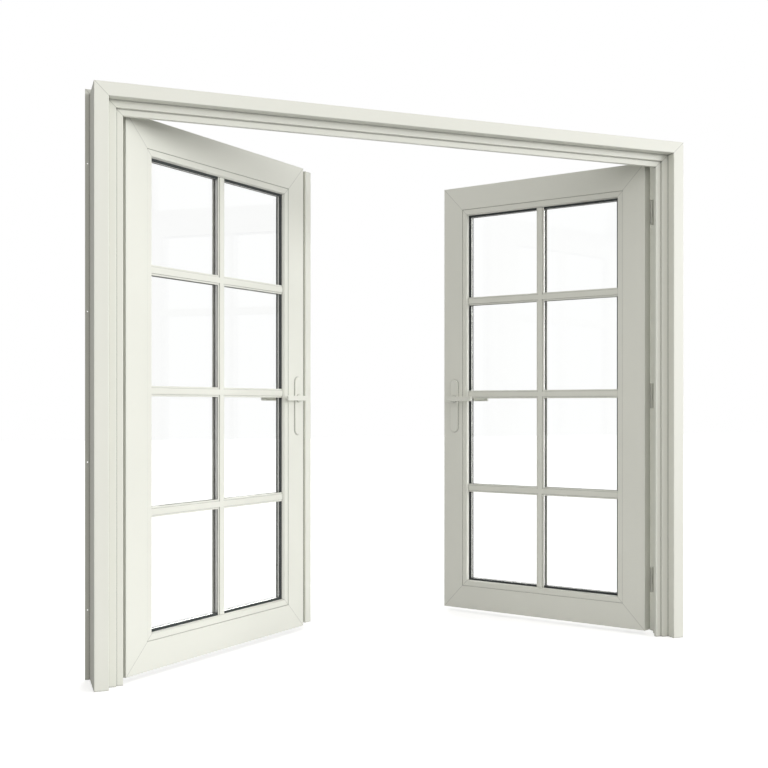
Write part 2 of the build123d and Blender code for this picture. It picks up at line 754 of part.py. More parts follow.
bolt_runs = {
    "bolt_top": (case_high - rod_bite, leaf_top - ROD_RECESS),
    "bolt_bottom": (LEAF_BOTTOM + ROD_RECESS, case_low + rod_bite),
}
for name, (start, end) in bolt_runs.items():
    with BuildPart() as bolt:
        with BuildSketch(level_plane(RIGHT, start)):
            with Locations((rod_place, RIGHT * mid_depth)):
                Circle(ROD_RADIUS)
        extrude(amount=end - start)
    keep(bolt.part, name)

# Astragal: a hollow strip on the left leaf's closing edge, with a groove next to the stile and a
# lip that laps behind the right leaf. It is a little shorter than the leaf and capped at both ends.
astragal_outline = [
    (leaf_width, ASTRAGAL_GROOVE_DEPTH),
    (leaf_width + ASTRAGAL_GROOVE, ASTRAGAL_GROOVE_DEPTH),
    (leaf_width + ASTRAGAL_GROOVE, ASTRAGAL_SETBACK),
    (leaf_width + astragal_width, ASTRAGAL_SETBACK),
    (leaf_width + astragal_width, lip_front),
    (leaf_width + lip_edge, lip_front),
    (leaf_width + lip_edge, lip_back),
    (leaf_width + astragal_width - LIP_ROOT, lip_back),
    (leaf_width + astragal_width - LIP_ROOT, LEAF_THICKNESS),
    (leaf_width, LEAF_THICKNESS),
]
astragal_chambers = [
    box_points(
        leaf_width + ASTRAGAL_WALL,
        leaf_width + ASTRAGAL_GROOVE - ASTRAGAL_WALL,
        ASTRAGAL_GROOVE_DEPTH + ASTRAGAL_WALL,
        LEAF_THICKNESS - ASTRAGAL_WALL,
    ),
    box_points(
        leaf_width + ASTRAGAL_GROOVE + ASTRAGAL_WALL,
        leaf_width + astragal_width - ASTRAGAL_WALL,
        ASTRAGAL_SETBACK + ASTRAGAL_WALL,
        LEAF_THICKNESS - ASTRAGAL_WALL,
    ),
]
cap_foot = LEAF_BOTTOM + ASTRAGAL_SHORT
cap_top = leaf_top - ASTRAGAL_SHORT - ASTRAGAL_CAP
astragal_foot = cap_foot + ASTRAGAL_CAP

with BuildPart() as astragal:
    with BuildSketch(level_plane(LEFT, astragal_foot)):
        Polygon(*astragal_outline, align=None)
        for chamber in astragal_chambers:
            Polygon(*chamber, align=None, mode=Mode.SUBTRACT)
    extrude(amount=cap_top - astragal_foot)
    with BuildSketch(cross_plane(LEFT, leaf_width)):
        Polygon(*latch_hole(LEFT), align=None)
    extrude(amount=astragal_width, mode=Mode.SUBTRACT)
keep(astragal.part, "astragal")

with BuildPart() as astragal_caps:
    for start in (cap_foot, cap_top):
        with BuildSketch(level_plane(LEFT, start)):
            Polygon(*astragal_outline, align=None)
        extrude(amount=ASTRAGAL_CAP)
keep(astragal_caps.part, "astragal_caps")

with BuildPart() as astragal_seal:
    with BuildSketch(level_plane(LEFT, astragal_foot)):
        Polygon(
            *box_points(
                leaf_width + lip_edge - SEAL_WIDTH,
                leaf_width + lip_edge,
                LEAF_THICKNESS + SEAL_GAP,
                lip_front,
            ),
            align=None,
        )
    extrude(amount=cap_top - astragal_foot)
keep(astragal_seal.part, "astragal_seal")
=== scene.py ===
import json
import math

import bmesh
import bpy
from mathutils import Matrix, Vector

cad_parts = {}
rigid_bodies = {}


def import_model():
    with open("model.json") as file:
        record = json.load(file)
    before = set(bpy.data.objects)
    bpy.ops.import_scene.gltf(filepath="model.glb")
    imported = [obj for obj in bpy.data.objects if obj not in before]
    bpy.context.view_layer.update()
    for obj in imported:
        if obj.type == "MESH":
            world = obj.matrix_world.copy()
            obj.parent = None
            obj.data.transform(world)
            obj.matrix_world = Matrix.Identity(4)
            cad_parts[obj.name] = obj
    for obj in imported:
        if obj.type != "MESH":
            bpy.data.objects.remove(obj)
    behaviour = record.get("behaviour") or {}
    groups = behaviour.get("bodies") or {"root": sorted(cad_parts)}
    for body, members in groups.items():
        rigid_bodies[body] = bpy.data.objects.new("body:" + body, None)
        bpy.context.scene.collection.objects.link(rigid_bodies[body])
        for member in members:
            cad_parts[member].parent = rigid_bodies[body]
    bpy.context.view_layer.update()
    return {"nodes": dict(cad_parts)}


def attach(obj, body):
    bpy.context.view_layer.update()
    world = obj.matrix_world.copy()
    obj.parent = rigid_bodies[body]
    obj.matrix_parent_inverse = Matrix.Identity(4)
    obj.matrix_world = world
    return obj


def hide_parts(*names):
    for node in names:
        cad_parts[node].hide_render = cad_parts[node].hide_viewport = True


# A pair of glazed french doors in a three-sided plastic frame, both leaves standing open.
# Lengths are in metres, and the frame's room face looks along -Y.
for leftover in list(bpy.data.objects):
    bpy.data.objects.remove(leftover)
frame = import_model()
nodes = frame["nodes"]


# Frame: two jambs and a head of hollow extruded plastic, welded at 45 degrees. The skin is smooth and
# satin, with faint die lines along each length, and the cut corners show as fine grooves.
FRAME_HALF_WIDTH, FRAME_HEIGHT = 1.185, 2.100
OFF_WHITE = (0.78, 0.785, 0.715, 1)


def feed(tree, sockets, sources):
    """Gives each named socket a plain value, a step's first output or one chosen output."""
    for name, source in sources.items():
        if isinstance(source, bpy.types.Node):
            source = source.outputs[0]
        if isinstance(source, bpy.types.NodeSocket):
            tree.links.new(source, sockets[name])
        else:
            sockets[name].default_value = source


def add_step(tree, kind, sources, operation=None):
    """Adds one step of a finish: a shader node with its inputs fed."""
    step = tree.nodes.new("ShaderNode" + kind)
    if operation:
        step.operation = operation
    feed(tree, step.inputs, sources)
    return step


def shared_effect(name, inputs, outputs):
    """An empty node group, with the sockets that come into it and those that go out."""
    group = bpy.data.node_groups.new(name, "ShaderNodeTree")
    for way, sockets in (("INPUT", inputs), ("OUTPUT", outputs)):
        for socket, kind in sockets.items():
            group.interface.new_socket(socket, in_out=way, socket_type="NodeSocket" + kind)
    return group, group.nodes.new("NodeGroupInput").outputs, group.nodes.new("NodeGroupOutput").inputs


def moulded_skin():
    """Shared effect of extruded and moulded plastic: colour drift, painted shade in tight corners and on
    the dull outer sides, dark weld lines, uneven gloss and a fine surface.
    """
    group, given, result = shared_effect(
        "moulded_skin",
        {
            "Vector": "Vector",
            "Base": "Color",
            "Gloss": "Float",
            "Lines": "Float",
            "Seam": "Float",
            "Raw": "Float",
            "Corner": "Float",
        },
        {"Color": "Color", "Roughness": "Float", "Normal": "Vector"},
    )
    drift = add_step(group, "TexNoise", {"Vector": given["Vector"], "Scale": 2.6, "Detail": 3})
    tone = add_step(group, "MapRange", {"Value": drift, "To Min": 0.975, "To Max": 1.02})
    # Ambient occlusion darkens the colour in tight corners and between parts: painted shade.
    nook = add_step(group, "AmbientOcclusion", {"Distance": 0.007})
    nook.samples = 6
    shaded_corners = {"Value": nook.outputs["AO"], "From Min": 0.45, "From Max": 0.9, "To Min": given["Corner"]}
    corner_shade = add_step(group, "MapRange", shaded_corners)
    welded = add_step(group, "MapRange", {"Value": given["Seam"], "To Min": 1, "To Max": 0.62})
    # Past the welded rectangle the colour is painted darker, as shade on the frame's outer sides and fin;
    # the same mask also makes that plastic dull.
    outer_side_shade = add_step(group, "MapRange", {"Value": given["Raw"], "To Min": 1, "To Max": 0.70})
    for share in (corner_shade, welded, outer_side_shade):
        tone = add_step(group, "Math", {0: tone, 1: share}, "MULTIPLY")
    tint = add_step(group, "HueSaturation", {"Color": given["Base"], "Value": tone})

    stretched = add_step(group, "Mapping", {"Vector": given["Vector"], "Scale": (1, 1, 0.004)})
    lines = add_step(group, "TexNoise", {"Vector": stretched, "Scale": 650, "Detail": 2})
    drawn = add_step(group, "Math", {0: lines, 1: given["Lines"]}, "MULTIPLY")
    peel = add_step(group, "TexNoise", {"Vector": given["Vector"], "Scale": 420, "Detail": 3})
    height = add_step(group, "Math", {0: drawn, 1: peel}, "ADD")
    bump = add_step(group, "Bump", {"Height": height, "Strength": 0.5, "Distance": 0.00003})

    uneven = add_step(group, "MapRange", {"Value": drift, "To Min": -0.05, "To Max": 0.07})
    gloss = add_step(group, "Math", {0: given["Gloss"], 1: uneven}, "ADD")
    matt = add_step(group, "Math", {0: given["Raw"], 1: 0.55, 2: gloss}, "MULTIPLY_ADD")
    feed(group, result, {"Color": tint, "Roughness": matt, "Normal": bump})
    return group


def weld_seam():
    """Shared effect of welded corners: masks of the thin 45 degree lines of an upright rectangle and of
    what lies on or past its sides."""
    group, given, result = shared_effect(
        "weld_seam",
        {
            "Vector": "Vector",
            "Along": "Vector",
            "Middle": "Vector",
            "Half Width": "Float",
            "Half Height": "Float",
        },
        {"Mask": "Float", "Outside": "Float"},
    )
    offset = add_step(group, "VectorMath", {0: given["Vector"], 1: given["Middle"]}, "SUBTRACT")
    across = add_step(group, "VectorMath", {0: offset, 1: given["Along"]}, "DOT_PRODUCT")
    upward = add_step(group, "SeparateXYZ", {"Vector": offset})
    margins = []
    for half, distance in (("Half Width", across.outputs["Value"]), ("Half Height", upward.outputs["Z"])):
        reach = add_step(group, "Math", {0: distance}, "ABSOLUTE")
        margins.append(add_step(group, "Math", {0: given[half], 1: reach}, "SUBTRACT"))
    from_side, from_end = margins
    differ = add_step(group, "Math", {0: from_side, 1: from_end}, "SUBTRACT")
    apart = add_step(group, "Math", {0: differ}, "ABSOLUTE")
    fading = {"Value": apart, "From Min": 0.0007, "From Max": 0.0015, "To Min": 1, "To Max": 0}
    line = add_step(group, "MapRange", fading)
    nearest = add_step(group, "Math", {0: from_side, 1: from_end}, "MINIMUM")
    outside = add_step(group, "Math", {0: nearest, 1: 0.0004}, "LESS_THAN")
    feed(group, result, {"Mask": line, "Outside": outside})
    return group


skin, seam = moulded_skin(), weld_seam()


def new_finish(name):
    """A new material, its node tree, the sockets of its surface and the place on the piece."""
    material = bpy.data.materials.new(name)
    material.use_nodes = True
    tree = material.node_tree
    place = tree.nodes.new("ShaderNodeTexCoord").outputs["Object"]
    return material, tree, tree.nodes["Principled BSDF"].inputs, place


def add_effect(tree, group, sources):
    """Places a shared effect in a finish, with its own values."""
    effect = tree.nodes.new("ShaderNodeGroup")
    effect.node_tree = group
    feed(tree, effect.inputs, sources)
    return effect


def plastic(name, colour, gloss, lines=0.0, run=(0, 0, 1), corners=None, raw_shaded=False, corner_shade=0.42):
    """Satin plastic whose die lines follow the length that it was extruded in.

    Gloss is the roughness. The last argument is the share of the colour left in tight corners, as painted
    shade, and the plastic can be made dull outside its rectangle of welded corners, where its colour is
    painted darker as shade.
    """
    material, tree, surface, place = new_finish(name)
    turn = Vector(run).rotation_difference(Vector((0, 0, 1))).to_euler()
    turned = add_step(tree, "Mapping", {"Vector": place, "Rotation": turn})
    values = {"Vector": turned, "Base": colour, "Gloss": gloss, "Lines": lines, "Corner": corner_shade}
    effect = add_effect(tree, skin, values)
    if corners:
        weld = add_effect(tree, seam, {"Vector": place, **corners})
        feed(tree, effect.inputs, {"Seam": weld.outputs["Mask"]})
        if raw_shaded:
            feed(tree, effect.inputs, {"Raw": weld.outputs["Outside"]})
    feed(tree, surface, {"Base Color": effect.outputs["Color"], "Roughness": effect.outputs["Roughness"]})
    feed(tree, surface, {"Normal": effect.outputs["Normal"], "IOR": 1.5})
    return material


def dress(name, material, edge=0.0, shortest=0.01, near=None):
    """Gives a CAD piece its material and rounds its edges, from the shortest length up.

    Inner corners, and edges farther from the room face than near, stay three times as sharp.
    """
    crease, digits, same_place = math.radians(40), 5, 0.00001
    piece = nodes[name]
    mesh = piece.data
    mesh.materials.clear()
    mesh.materials.append(material)
    if not edge:
        return

    def ends(numbers):
        tips = [mesh.vertices[number].co for number in numbers]
        return frozenset(tuple(round(part, digits) for part in tip) for tip in tips)

    sides = {}
    for face in mesh.polygons:
        for pair in face.edge_keys:
            sides.setdefault(ends(pair), []).append((face.normal.copy(), face.center.copy()))
    rounded = mesh.attributes.new("bevel_weight_edge", "FLOAT", "EDGE")
    for line in mesh.edges:
        tips = [mesh.vertices[number].co for number in line.vertices]
        if (tips[0] - tips[1]).length < shortest:
            continue
        (normal, centre), (other, across) = sides[ends(line.vertices)][:2]
        if normal.dot(other) < math.cos(crease):
            sharper = normal.dot(across - centre) > 0 or near and min(tip.y for tip in tips) > near
            rounded.data[line.index].value = 0.33 if sharper else 1.0
    mesh.polygons.foreach_set("use_smooth", [True] * len(mesh.polygons))
    joined = piece.modifiers.new("joined", "WELD")
    joined.merge_threshold = same_place
    flats = piece.modifiers.new("flats", "DECIMATE")
    flats.decimate_type = "DISSOLVE"
    flats.angle_limit = math.radians(1)
    eased = piece.modifiers.new("eased", "BEVEL")
    eased.width = edge
    eased.segments = 3
    eased.limit_method = "WEIGHT"
    flat_light = piece.modifiers.new("flat_light", "WEIGHTED_NORMAL")
    flat_light.weight = 100


# Only the two top corners are welded, so the rectangle of the welds runs on far below the floor
far_below = -3
frame_corners = {
    "Along": (1, 0, 0),
    "Middle": (0, 0, far_below),
    "Half Width": FRAME_HALF_WIDTH,
    "Half Height": FRAME_HEIGHT - far_below,
}
# The frame's outer sides and fin, past the welded rectangle, are dull and painted darker as shade.
for name, run in (("jamb_left", (0, 0, 1)), ("jamb_right", (0, 0, 1)), ("head", (1, 0, 0))):
    extruded = plastic(f"{name}_skin", OFF_WHITE, 0.34, 1.0, run, frame_corners, raw_shaded=True)
    dress(name, extruded, edge=0.003, shortest=0.2, near=0.1)


# Weather seals: soft black rubber pushed into grooves behind the frame's stop, with a matt,
# faintly dusty surface. A narrow foot carries a rounded bulb.
SEAL_WIDTH, SEAL_RISE = 0.010, 0.0045
SEAL_INSET, STOP_BACK = 0.083, 0.075


def rubber(name, colour):
    """Matt rubber with an uneven bloom of dust."""
    material, tree, surface, place = new_finish(name)
    dust = add_step(tree, "TexNoise", {"Vector": place, "Scale": 60, "Detail": 4})
    grey = add_step(tree, "MapRange", {"Value": dust, "To Min": 0.8, "To Max": 1.35})
    tint = add_step(tree, "HueSaturation", {"Color": colour, "Value": grey})
    dull = add_step(tree, "MapRange", {"Value": dust, "To Min": 0.55, "To Max": 0.8})
    grain = add_step(tree, "TexNoise", {"Vector": place, "Scale": 1400})
    bump = add_step(tree, "Bump", {"Height": grain, "Strength": 0.4, "Distance": 0.0001})
    feed(tree, surface, {"Base Color": tint, "Roughness": dull, "Normal": bump})
    return material


def as_piece(name, mesh, material):
    """Turns a drawn mesh into a piece of the scene."""
    bmesh.ops.recalc_face_normals(mesh, faces=mesh.faces)
    data = bpy.data.meshes.new(name)
    mesh.to_mesh(data)
    mesh.free()
    data.materials.append(material)
    piece = bpy.data.objects.new(name, data)
    bpy.context.scene.collection.objects.link(piece)
    return piece


def rubber_runs(name, runs, material, body, node):
    """Lengths of a rubber section.

    Each run has the section's points, a function that places a point at every corner of the run, and
    whether the run closes on itself.
    """
    mesh = bmesh.new()
    for section, places, closed in runs:
        rows = [[mesh.verts.new(place) for place in places(*point)] for point in section]
        for row, beside in zip(rows, rows[1:] + rows[:1]):
            corners = list(zip(row, beside))
            for (a, b), (c, d) in zip(corners, corners[1:] + (corners[:1] if closed else [])):
                mesh.faces.new((a, c, d, b))
        if not closed:
            mesh.faces.new([row[0] for row in rows])
            mesh.faces.new([row[-1] for row in rows])
    piece = as_piece(name, mesh, material)
    piece.data.polygons.foreach_set("use_smooth", [True] * len(piece.data.polygons))
    piece.data.set_sharp_from_angle(angle=math.radians(35))
    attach(piece, body)
    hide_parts(node)


def bulb(width, height):
    """Section of a bulb seal: a narrow foot and a rounded bulb on it, as (across, rise) points."""
    crown = []
    for turn in range(200, -21, -10):
        across, rise = math.cos(math.radians(turn)), math.sin(math.radians(turn))
        crown.append((width * (0.5 + 0.5 * across), height * (0.44 + 0.56 * rise)))
    near_side = [(0.12 * width, 0), (0.15 * width, 0.2 * height)]
    far_side = [(0.85 * width, 0.2 * height), (0.88 * width, 0)]
    return near_side + crown + far_side


def round_the_stop(across, rise):
    """Places of a section point at the seal's two feet and its two upper corners."""
    side, top = FRAME_HALF_WIDTH - SEAL_INSET - across, FRAME_HEIGHT - SEAL_INSET - across
    depth = STOP_BACK + rise
    return [(-side, depth, 0), (-side, depth, top), (side, depth, top), (side, depth, 0)]


seal_rubber = rubber("seal_rubber", (0.022, 0.027, 0.027, 1))
stop_run = (bulb(SEAL_WIDTH, SEAL_RISE), round_the_stop, False)
rubber_runs("frame_bulb_seal", [stop_run], seal_rubber, "frame", "frame_seals")


# Hinges: three steel butt hinges on the far side of each leaf, powder coated in the door's colour,
# and each half held by three countersunk screws.
PIN_OUT, PIN_DEPTH = 1.112, 0.140
PIN_OFFSET, PIN_TO_ROOM_FACE = 0.002, 0.060
HINGE_FEET = (0.180, 0.975, 1.770)
FLAP_DROP = 0.005
FRAME_SCREW_LINE, LEAF_SCREW_LINE = 0.01625, 0.028
SCREW_ROWS = ((0.016, 0.003), (0.050, -0.004), (0.084, 0.003))
FRAME_SCREW_RADIUS, LEAF_SCREW_RADIUS = 0.0038, 0.0042
# The hinges keep more of their colour in tight corners, so there is less painted shade on them.
hinge_coat = plastic("hinge_coat", OFF_WHITE, 0.42, corner_shade=0.9)
for hand in ("left", "right"):
    for part in ("hinge_frame_", "hinge_leaf_", "hinge_pins_"):
        dress(part + hand, hinge_coat)


def bright_steel(name, colour, roughness):
    """Zinc-plated steel or aluminium, drawn lengthways and slightly blotched."""
    material, tree, surface, place = new_finish(name)
    blotch = add_step(tree, "TexNoise", {"Vector": place, "Scale": 45, "Detail": 4})
    tone = add_step(tree, "MapRange", {"Value": blotch, "To Min": 0.86, "To Max": 1.1})
    tint = add_step(tree, "HueSaturation", {"Color": colour, "Value": tone})
    drawn = add_step(tree, "Mapping", {"Vector": place, "Scale": (1, 1, 0.02)})
    lines = add_step(tree, "TexNoise", {"Vector": drawn, "Scale": 1500})
    spread = {"Value": lines, "To Min": roughness - 0.08, "To Max": roughness + 0.1}
    dull = add_step(tree, "MapRange", spread)
    bump = add_step(tree, "Bump", {"Height": lines, "Strength": 0.3, "Distance": 0.00003})
    feed(tree, surface, {"Base Color": tint, "Metallic": 1, "Roughness": dull, "Normal": bump})
    return material


screw_steel = bright_steel("screw_steel", (0.6, 0.6, 0.6, 1), 0.34)


def screw_heads(name, spots, facing, radius, body):
    """Raised countersunk heads with a cross recess, one at each spot of a flat face."""
    facing = Vector(facing).normalized()
    across = facing.orthogonal().normalized()
    up = facing.cross(across)
    rise, depth, arm, half_arm, around = 0.1 * radius, 0.35 * radius, 0.56 * radius, 0.13 * radius, 40
    mesh = bmesh.new()
    for number, spot in enumerate(spots):
        lean = 0.7 * number + 0.3

        def point(a, b, c):
            return mesh.verts.new(
                Vector(spot)
                + across * (a * math.cos(lean) - b * math.sin(lean))
                + up * (a * math.sin(lean) + b * math.cos(lean))
                + facing * c
            )

        def ring(size, lift):
            turns = [2 * math.pi * step / around for step in range(around)]
            return [point(size * math.cos(turn), size * math.sin(turn), lift) for turn in turns]

        def cross(lift, share):
            wide, long = half_arm * share, arm * share
            corners = []
            for quarter in range(4):
                turn = Matrix.Rotation(quarter * math.pi / 2, 2)
                for corner in ((long, -wide), (long, wide), (wide, wide)):
                    a, b = turn @ Vector(corner)
                    corners.append(point(a, b, lift))
            return corners

        def wall(lower, upper):
            for step in range(len(lower)):
                after = (step + 1) % len(lower)
                mesh.faces.new((lower[step], lower[after], upper[after], upper[step]))

        foot, rim, crown = ring(radius, 0.0), ring(0.97 * radius, 0.04 * radius), ring(0.72 * radius, rise)
        slot_top, slot_foot = cross(rise, 1.0), cross(rise - depth, 0.7)
        wall(foot, rim)
        wall(rim, crown)
        loops = []
        for loop in (crown, slot_top):
            for step in range(len(loop)):
                pair = (loop[step], loop[(step + 1) % len(loop)])
                loops.append(mesh.edges.get(pair) or mesh.edges.new(pair))
        bmesh.ops.triangle_fill(mesh, use_beauty=True, edges=loops, normal=facing)
        wall(slot_top, slot_foot)
        mesh.faces.new(slot_foot)
    piece = as_piece(name, mesh, screw_steel)
    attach(piece, body)


# At rest the left leaf stands 41 degrees open and the right leaf 58. Along runs from a leaf's hinge
# edge to its closing edge, and back runs out of its far face.
pins, along, back = {}, {}, {}
for hand, side, opening in (("left", 1, 41), ("right", -1, 58)):
    turn = math.radians(opening)
    pins[hand] = Vector((-side * PIN_OUT, PIN_DEPTH, 0))
    along[hand] = Vector((side * math.cos(turn), math.sin(turn), 0))
    back[hand] = Vector((-side * math.sin(turn), math.cos(turn), 0))


def leaf_point(hand, place, depth, height):
    """A point of a leaf at rest, by its place from the hinge edge and its depth from the room face."""
    level = along[hand] * (place + PIN_OFFSET) + back[hand] * (depth - PIN_TO_ROOM_FACE)
    return pins[hand] + level + Vector((0, 0, height))


for hand, side in (("left", 1), ("right", -1)):
    frame_spots, leaf_spots = [], []
    for foot in HINGE_FEET:
        for row, shift in SCREW_ROWS:
            sideways = side * (0.4 * shift - FRAME_SCREW_LINE)
            frame_spots.append(pins[hand] + Vector((sideways, -FLAP_DROP, foot + row)))
            place, depth = LEAF_SCREW_LINE + 2 * shift, PIN_TO_ROOM_FACE - FLAP_DROP
            leaf_spots.append(leaf_point(hand, place, depth, foot + row))
    fixed, turning = f"hinge_screws_frame_{hand}", f"hinge_screws_leaf_{hand}"
    screw_heads(fixed, frame_spots, (0, 1, 0), FRAME_SCREW_RADIUS, "frame")
    screw_heads(turning, leaf_spots, back[hand], LEAF_SCREW_RADIUS, f"{hand}_leaf")


# Leaves: four hollow members of the same extruded plastic as the frame, welded at 45 degrees, and a
# set of glazing beads that snap into a groove beside the glass.
LEAF_WIDTH, LEAF_THICKNESS, LEAF_FOOT, LEAF_TOP = 1.0775, 0.052, 0.017, 2.025
for hand in ("left", "right"):
    corners = {
        "Along": along[hand],
        "Middle": leaf_point(hand, LEAF_WIDTH / 2, PIN_TO_ROOM_FACE, (LEAF_FOOT + LEAF_TOP) / 2),
        "Half Width": LEAF_WIDTH / 2,
        "Half Height": (LEAF_TOP - LEAF_FOOT) / 2,
    }
    upright = plastic(f"stile_skin_{hand}", OFF_WHITE, 0.33, lines=1.0, corners=corners)
    level = plastic(f"rail_skin_{hand}", OFF_WHITE, 0.33, lines=1.0, run=along[hand], corners=corners)
    bead = plastic(f"bead_skin_{hand}", OFF_WHITE, 0.31, corners=corners)
    for part in ("stile_hinge_", "stile_lock_"):
        dress(part + hand, upright, edge=0.0015, shortest=0.2)
    for part in ("rail_top_", "rail_bottom_"):
        dress(part + hand, level, edge=0.0015, shortest=0.2)
    dress(f"beads_{hand}", bead, edge=0.001, shortest=0.2)


# Glazing: two clear float panes with a grey aluminium spacer sealed between them, bedded in black
# rubber gaskets that show as a thin line round the glass.
GLASS_MIDDLE = 0.030
STRIPE_DEPTH, STRIPE_HALF = 0.0285, 0.0032
BUTYL_BLACK = (0.02, 0.022, 0.022, 1)
glass, tree, surface, place = new_finish("clear_glass")
wiped = add_step(tree, "TexNoise", {"Vector": place, "Scale": 7, "Detail": 5, "Distortion": 1.2})
smear = add_step(tree, "MapRange", {"Value": wiped, "From Min": 0.5, "From Max": 0.8, "To Max": 0.02})
feed(tree, surface, {"Base Color": (0.996, 1, 0.998, 1), "Transmission Weight": 1, "IOR": 1.2})
feed(tree, surface, {"Roughness": smear})
shadow = tree.nodes.new("ShaderNodeLightPath").outputs["Is Shadow Ray"]
through = tree.nodes.new("ShaderNodeBsdfTransparent")
choice = add_step(tree, "MixShader", {"Fac": shadow, 1: tree.nodes["Principled BSDF"], 2: through})
feed(tree, tree.nodes["Material Output"].inputs, {"Surface": choice})

gasket_rubber = rubber("gasket_rubber", (0.02, 0.025, 0.025, 1))
front_lip = [
    (0.127, 0.0170),
    (0.138, 0.0170),
    (0.142, 0.0175),
    (0.1445, 0.0185),
    (0.146, 0.0200),
    (0.127, 0.0200),
]
rear_lip = [(inset, 2 * GLASS_MIDDLE - depth) for inset, depth in front_lip]
for hand in ("left", "right"):

    def round_the_glass(inset, depth):
        """Places of a section point at the four corners of the glass."""
        near, far, low, high = inset, LEAF_WIDTH - inset, LEAF_FOOT + inset, LEAF_TOP - inset
        ends = ((near, low), (far, low), (far, high), (near, high))
        return [leaf_point(hand, place, depth, height) for place, height in ends]

    lips = [(front_lip, round_the_glass, True), (rear_lip, round_the_glass, True)]
    rubber_runs(f"glazing_gasket_{hand}", lips, gasket_rubber, f"{hand}_leaf", f"gaskets_{hand}")
    dress(f"panes_{hand}", glass)
    # Black butyl beside each pane leaves a grey stripe of bare metal along the spacer
    metal = bright_steel(f"spacer_aluminium_{hand}", (0.5, 0.5, 0.47, 1), 0.5)
    tree = metal.node_tree
    surface = tree.nodes["Principled BSDF"].inputs
    place = tree.nodes["Texture Coordinate"].outputs["Object"]
    deep = add_step(tree, "VectorMath", {0: place, 1: back[hand]}, "DOT_PRODUCT")
    stripe = leaf_point(hand, 0, STRIPE_DEPTH, 0).dot(back[hand])
    bare = add_step(tree, "Math", {0: deep.outputs["Value"], 1: stripe, 2: STRIPE_HALF}, "COMPARE")
    butyl = tree.nodes.new("ShaderNodeMix")
    butyl.data_type = "RGBA"
    drawn_metal = surface["Base Color"].links[0].from_socket
    feed(tree, butyl.inputs, {"Factor": bare, "A": BUTYL_BLACK, "B": drawn_metal})
    feed(tree, surface, {"Base Color": butyl.outputs["Result"], "Metallic": bare})
    dress(f"spacer_{hand}", metal)


# Glazing bars: stepped plastic bars stuck to both faces of the glass, with a grey metal grid between
# the panes behind them.
bar_skin = plastic("bar_skin", OFF_WHITE, 0.32)
bar_metal = bright_steel("bar_aluminium", (0.6, 0.6, 0.58, 1), 0.5)
for hand in ("left", "right"):
    dress(f"bars_front_{hand}", bar_skin, edge=0.0004)
    dress(f"bars_rear_{hand}", bar_skin, edge=0.0004)
    dress(f"bars_inner_{hand}", bar_metal)


# Locks: a steel case inside each closing stile, with its edge plate, the left leaf's latch and the
# right leaf's two shoot bolts, all in bright zinc. The upper bolt's keep is screwed into the head.
EDGE_SCREW_HEIGHTS, EDGE_SCREW_RADIUS = (0.928, 1.092), 0.0038
KEEP_MIDDLE, KEEP_SCREW_SPREAD, KEEP_SCREW_RADIUS = (0.0565, 0.106, 2.027), 0.024, 0.0036
zinc = bright_steel("lock_zinc", (0.62, 0.62, 0.61, 1), 0.3)
for name in ("lock_case_left", "lock_case_right", "latch_bolt", "bolt_top", "bolt_bottom"):
    dress(name, zinc)
for name in ("faceplate_left", "faceplate_right", "head_keep"):
    dress(name, zinc, edge=0.0004)
edge_spots = [leaf_point("right", LEAF_WIDTH, LEAF_THICKNESS / 2, height) for height in EDGE_SCREW_HEIGHTS]
screw_heads(
    "faceplate_screws_right", edge_spots, along["right"], EDGE_SCREW_RADIUS, "right_leaf"
)
keep_spots = [Vector(KEEP_MIDDLE) + Vector((way * KEEP_SCREW_SPREAD, 0, 0)) for way in (-1, 1)]
screw_heads("head_keep_screws", keep_spots, (0, 0, -1), KEEP_SCREW_RADIUS, "frame")


# Handles: cast lever handles on long round-ended plates, painted to match the door, turning on a
# square steel spindle through the stile. Two screws hold each plate from the far side.
PLATE_THICKNESS = 0.007
PLATE_SCREW_HEIGHTS, PLATE_SCREW_RADIUS = (0.882, 1.082), 0.0042
handle_paint = plastic("handle_paint", OFF_WHITE, 0.27)
for hand, backset in (("left", 0.044), ("right", 0.062)):
    for part in ("backplates_", "lever_front_", "lever_rear_"):
        dress(part + hand, handle_paint)
    dress(f"spindle_{hand}", zinc)
    place, depth = LEAF_WIDTH - backset, LEAF_THICKNESS + PLATE_THICKNESS
    spots = [leaf_point(hand, place, depth, height) for height in PLATE_SCREW_HEIGHTS]
    name, body = f"plate_screws_{hand}", f"{hand}_leaf"
    screw_heads(name, spots, back[hand], PLATE_SCREW_RADIUS, body)


# Astragal: a plastic strip screwed to the left leaf's closing edge that covers the meeting gap, with
# moulded end caps and a rubber seal inside its lip.
LIP_PLACE, LIP_DEPTH, LIP_FOOT, LIP_TOP = 1.1505, 0.057, 0.028, 2.014
CAP_WHITE = (0.73, 0.735, 0.665, 1)
dress("astragal", plastic("astragal_skin", OFF_WHITE, 0.35, lines=1.0), edge=0.001, shortest=0.2)
dress("astragal_caps", plastic("cap_skin", CAP_WHITE, 0.5), edge=0.0005)


def up_the_lip(across, rise):
    """Places of a section point at the foot and the top of the lip."""
    place, depth = LIP_PLACE + across, LIP_DEPTH - rise
    return [leaf_point("left", place, depth, height) for height in (LIP_FOOT, LIP_TOP)]


lip_run = (bulb(SEAL_WIDTH, SEAL_RISE), up_the_lip, False)
rubber_runs("astragal_bulb_seal", [lip_run], seal_rubber, "left_leaf", "astragal_seal")


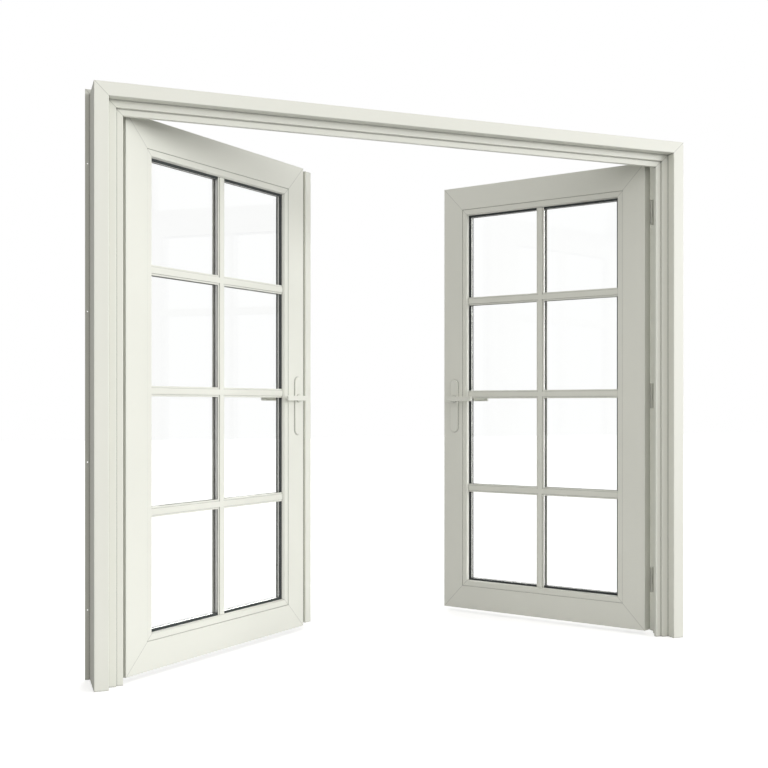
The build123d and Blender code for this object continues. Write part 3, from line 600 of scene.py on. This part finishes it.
# Room: a pale floor under plain soft studio light, with a white surround, seen from the height and
# side of the photograph.
FLOOR_HALF, FLOOR_DROP = 30, 0.0005
floor_mesh = bpy.data.meshes.new("floor")
floor_corners = [(a * FLOOR_HALF, b * FLOOR_HALF, 0) for a, b in ((-1, -1), (1, -1), (1, 1), (-1, 1))]
floor_mesh.from_pydata(floor_corners, [], [(0, 1, 2, 3)])
floor = bpy.data.objects.new("floor", floor_mesh)
floor.location = (0, 0, -FLOOR_DROP)
bpy.context.scene.collection.objects.link(floor)
paint = bpy.data.materials.new("floor_paint")
paint.use_nodes = True
tree = paint.node_tree
pale = tree.nodes["Principled BSDF"]
feed(tree, pale.inputs, {"Base Color": (0.8, 0.8, 0.8, 1), "Roughness": 0.9, "Specular IOR Level": 0})
lift = add_step(tree, "Emission", {"Strength": 0.55})
both = add_step(tree, "AddShader", {0: pale, 1: lift})
dim = add_step(tree, "BsdfDiffuse", {"Color": (0.45, 0.45, 0.45, 1)})
bounces = tree.nodes.new("ShaderNodeLightPath").outputs["Diffuse Depth"]
early = add_step(tree, "Math", {0: bounces, 1: 0.5}, "LESS_THAN")
choice = add_step(tree, "MixShader", {"Fac": early, 1: dim, 2: both})
feed(tree, tree.nodes["Material Output"].inputs, {"Surface": choice})
floor_mesh.materials.append(paint)

world = bpy.data.worlds.new("surround")
bpy.context.scene.world = world
world.use_nodes = True
tree = world.node_tree
sky = tree.nodes.new("ShaderNodeTexCoord").outputs["Generated"]
ahead = add_step(tree, "VectorMath", {0: sky, 1: (-0.22, -0.975, 0)}, "DOT_PRODUCT")
front = add_step(tree, "MapRange", {"Value": ahead.outputs["Value"], "From Min": -1})
focus = add_step(tree, "Math", {0: front, 1: 2}, "POWER")
level = add_step(tree, "MapRange", {"Value": focus, "To Min": 0.15, "To Max": 1.34})
soft = tree.nodes["Background"]
feed(tree, soft.inputs, {"Color": (1, 0.988, 0.966, 1), "Strength": level})
white = add_step(tree, "Background", {"Color": (1, 1, 1, 1), "Strength": 1})
rays = tree.nodes.new("ShaderNodeLightPath").outputs
seen = add_step(tree, "Math", {0: rays["Is Camera Ray"], 1: rays["Is Transmission Ray"]}, "MAXIMUM")
shown = add_step(tree, "Math", {0: seen, 1: rays["Is Glossy Ray"]}, "MAXIMUM")
choice = add_step(tree, "MixShader", {"Fac": shown, 1: soft, 2: white})
feed(tree, tree.nodes["World Output"].inputs, {"Surface": choice})

key = bpy.data.lights.new("key", "AREA")
key.shape = "RECTANGLE"
key.size, key.size_y = 68, 24
key.energy = 36700
key.color = (0.985, 0.992, 1)
key_lamp = bpy.data.objects.new("key", key)
bearing, climb, distance = math.radians(54), math.radians(7.5), 80
level_share = math.cos(climb)
towards = Vector((math.sin(bearing) * level_share, -math.cos(bearing) * level_share, math.sin(climb)))
key_lamp.location = Vector((0, 0, 1)) + towards * distance
key_lamp.rotation_euler = towards.to_track_quat("Z", "Y").to_euler()
bpy.context.scene.collection.objects.link(key_lamp)

behind = bpy.data.lights.new("behind", "SUN")
behind.energy = 1.5
behind.angle = math.radians(20)
behind_lamp = bpy.data.objects.new("behind", behind)
behind_lamp.rotation_euler = Vector((0.20, 0.91, 0.37)).to_track_quat("Z", "Y").to_euler()
bpy.context.scene.collection.objects.link(behind_lamp)

lens = bpy.data.cameras.new("camera")
lens.sensor_width = 36
lens.lens = 53.5
lens.shift_x = -0.13646
lens.shift_y = 0.029
lens.clip_end = 200
camera = bpy.data.objects.new("camera", lens)
camera.location = (-1.47449, -4.12967, 0.98018)
camera.rotation_euler = (math.radians(90), 0, math.radians(-23.0925))
bpy.context.scene.collection.objects.link(camera)
bpy.context.scene.camera = camera
bpy.context.scene.view_settings.view_transform = "Standard"
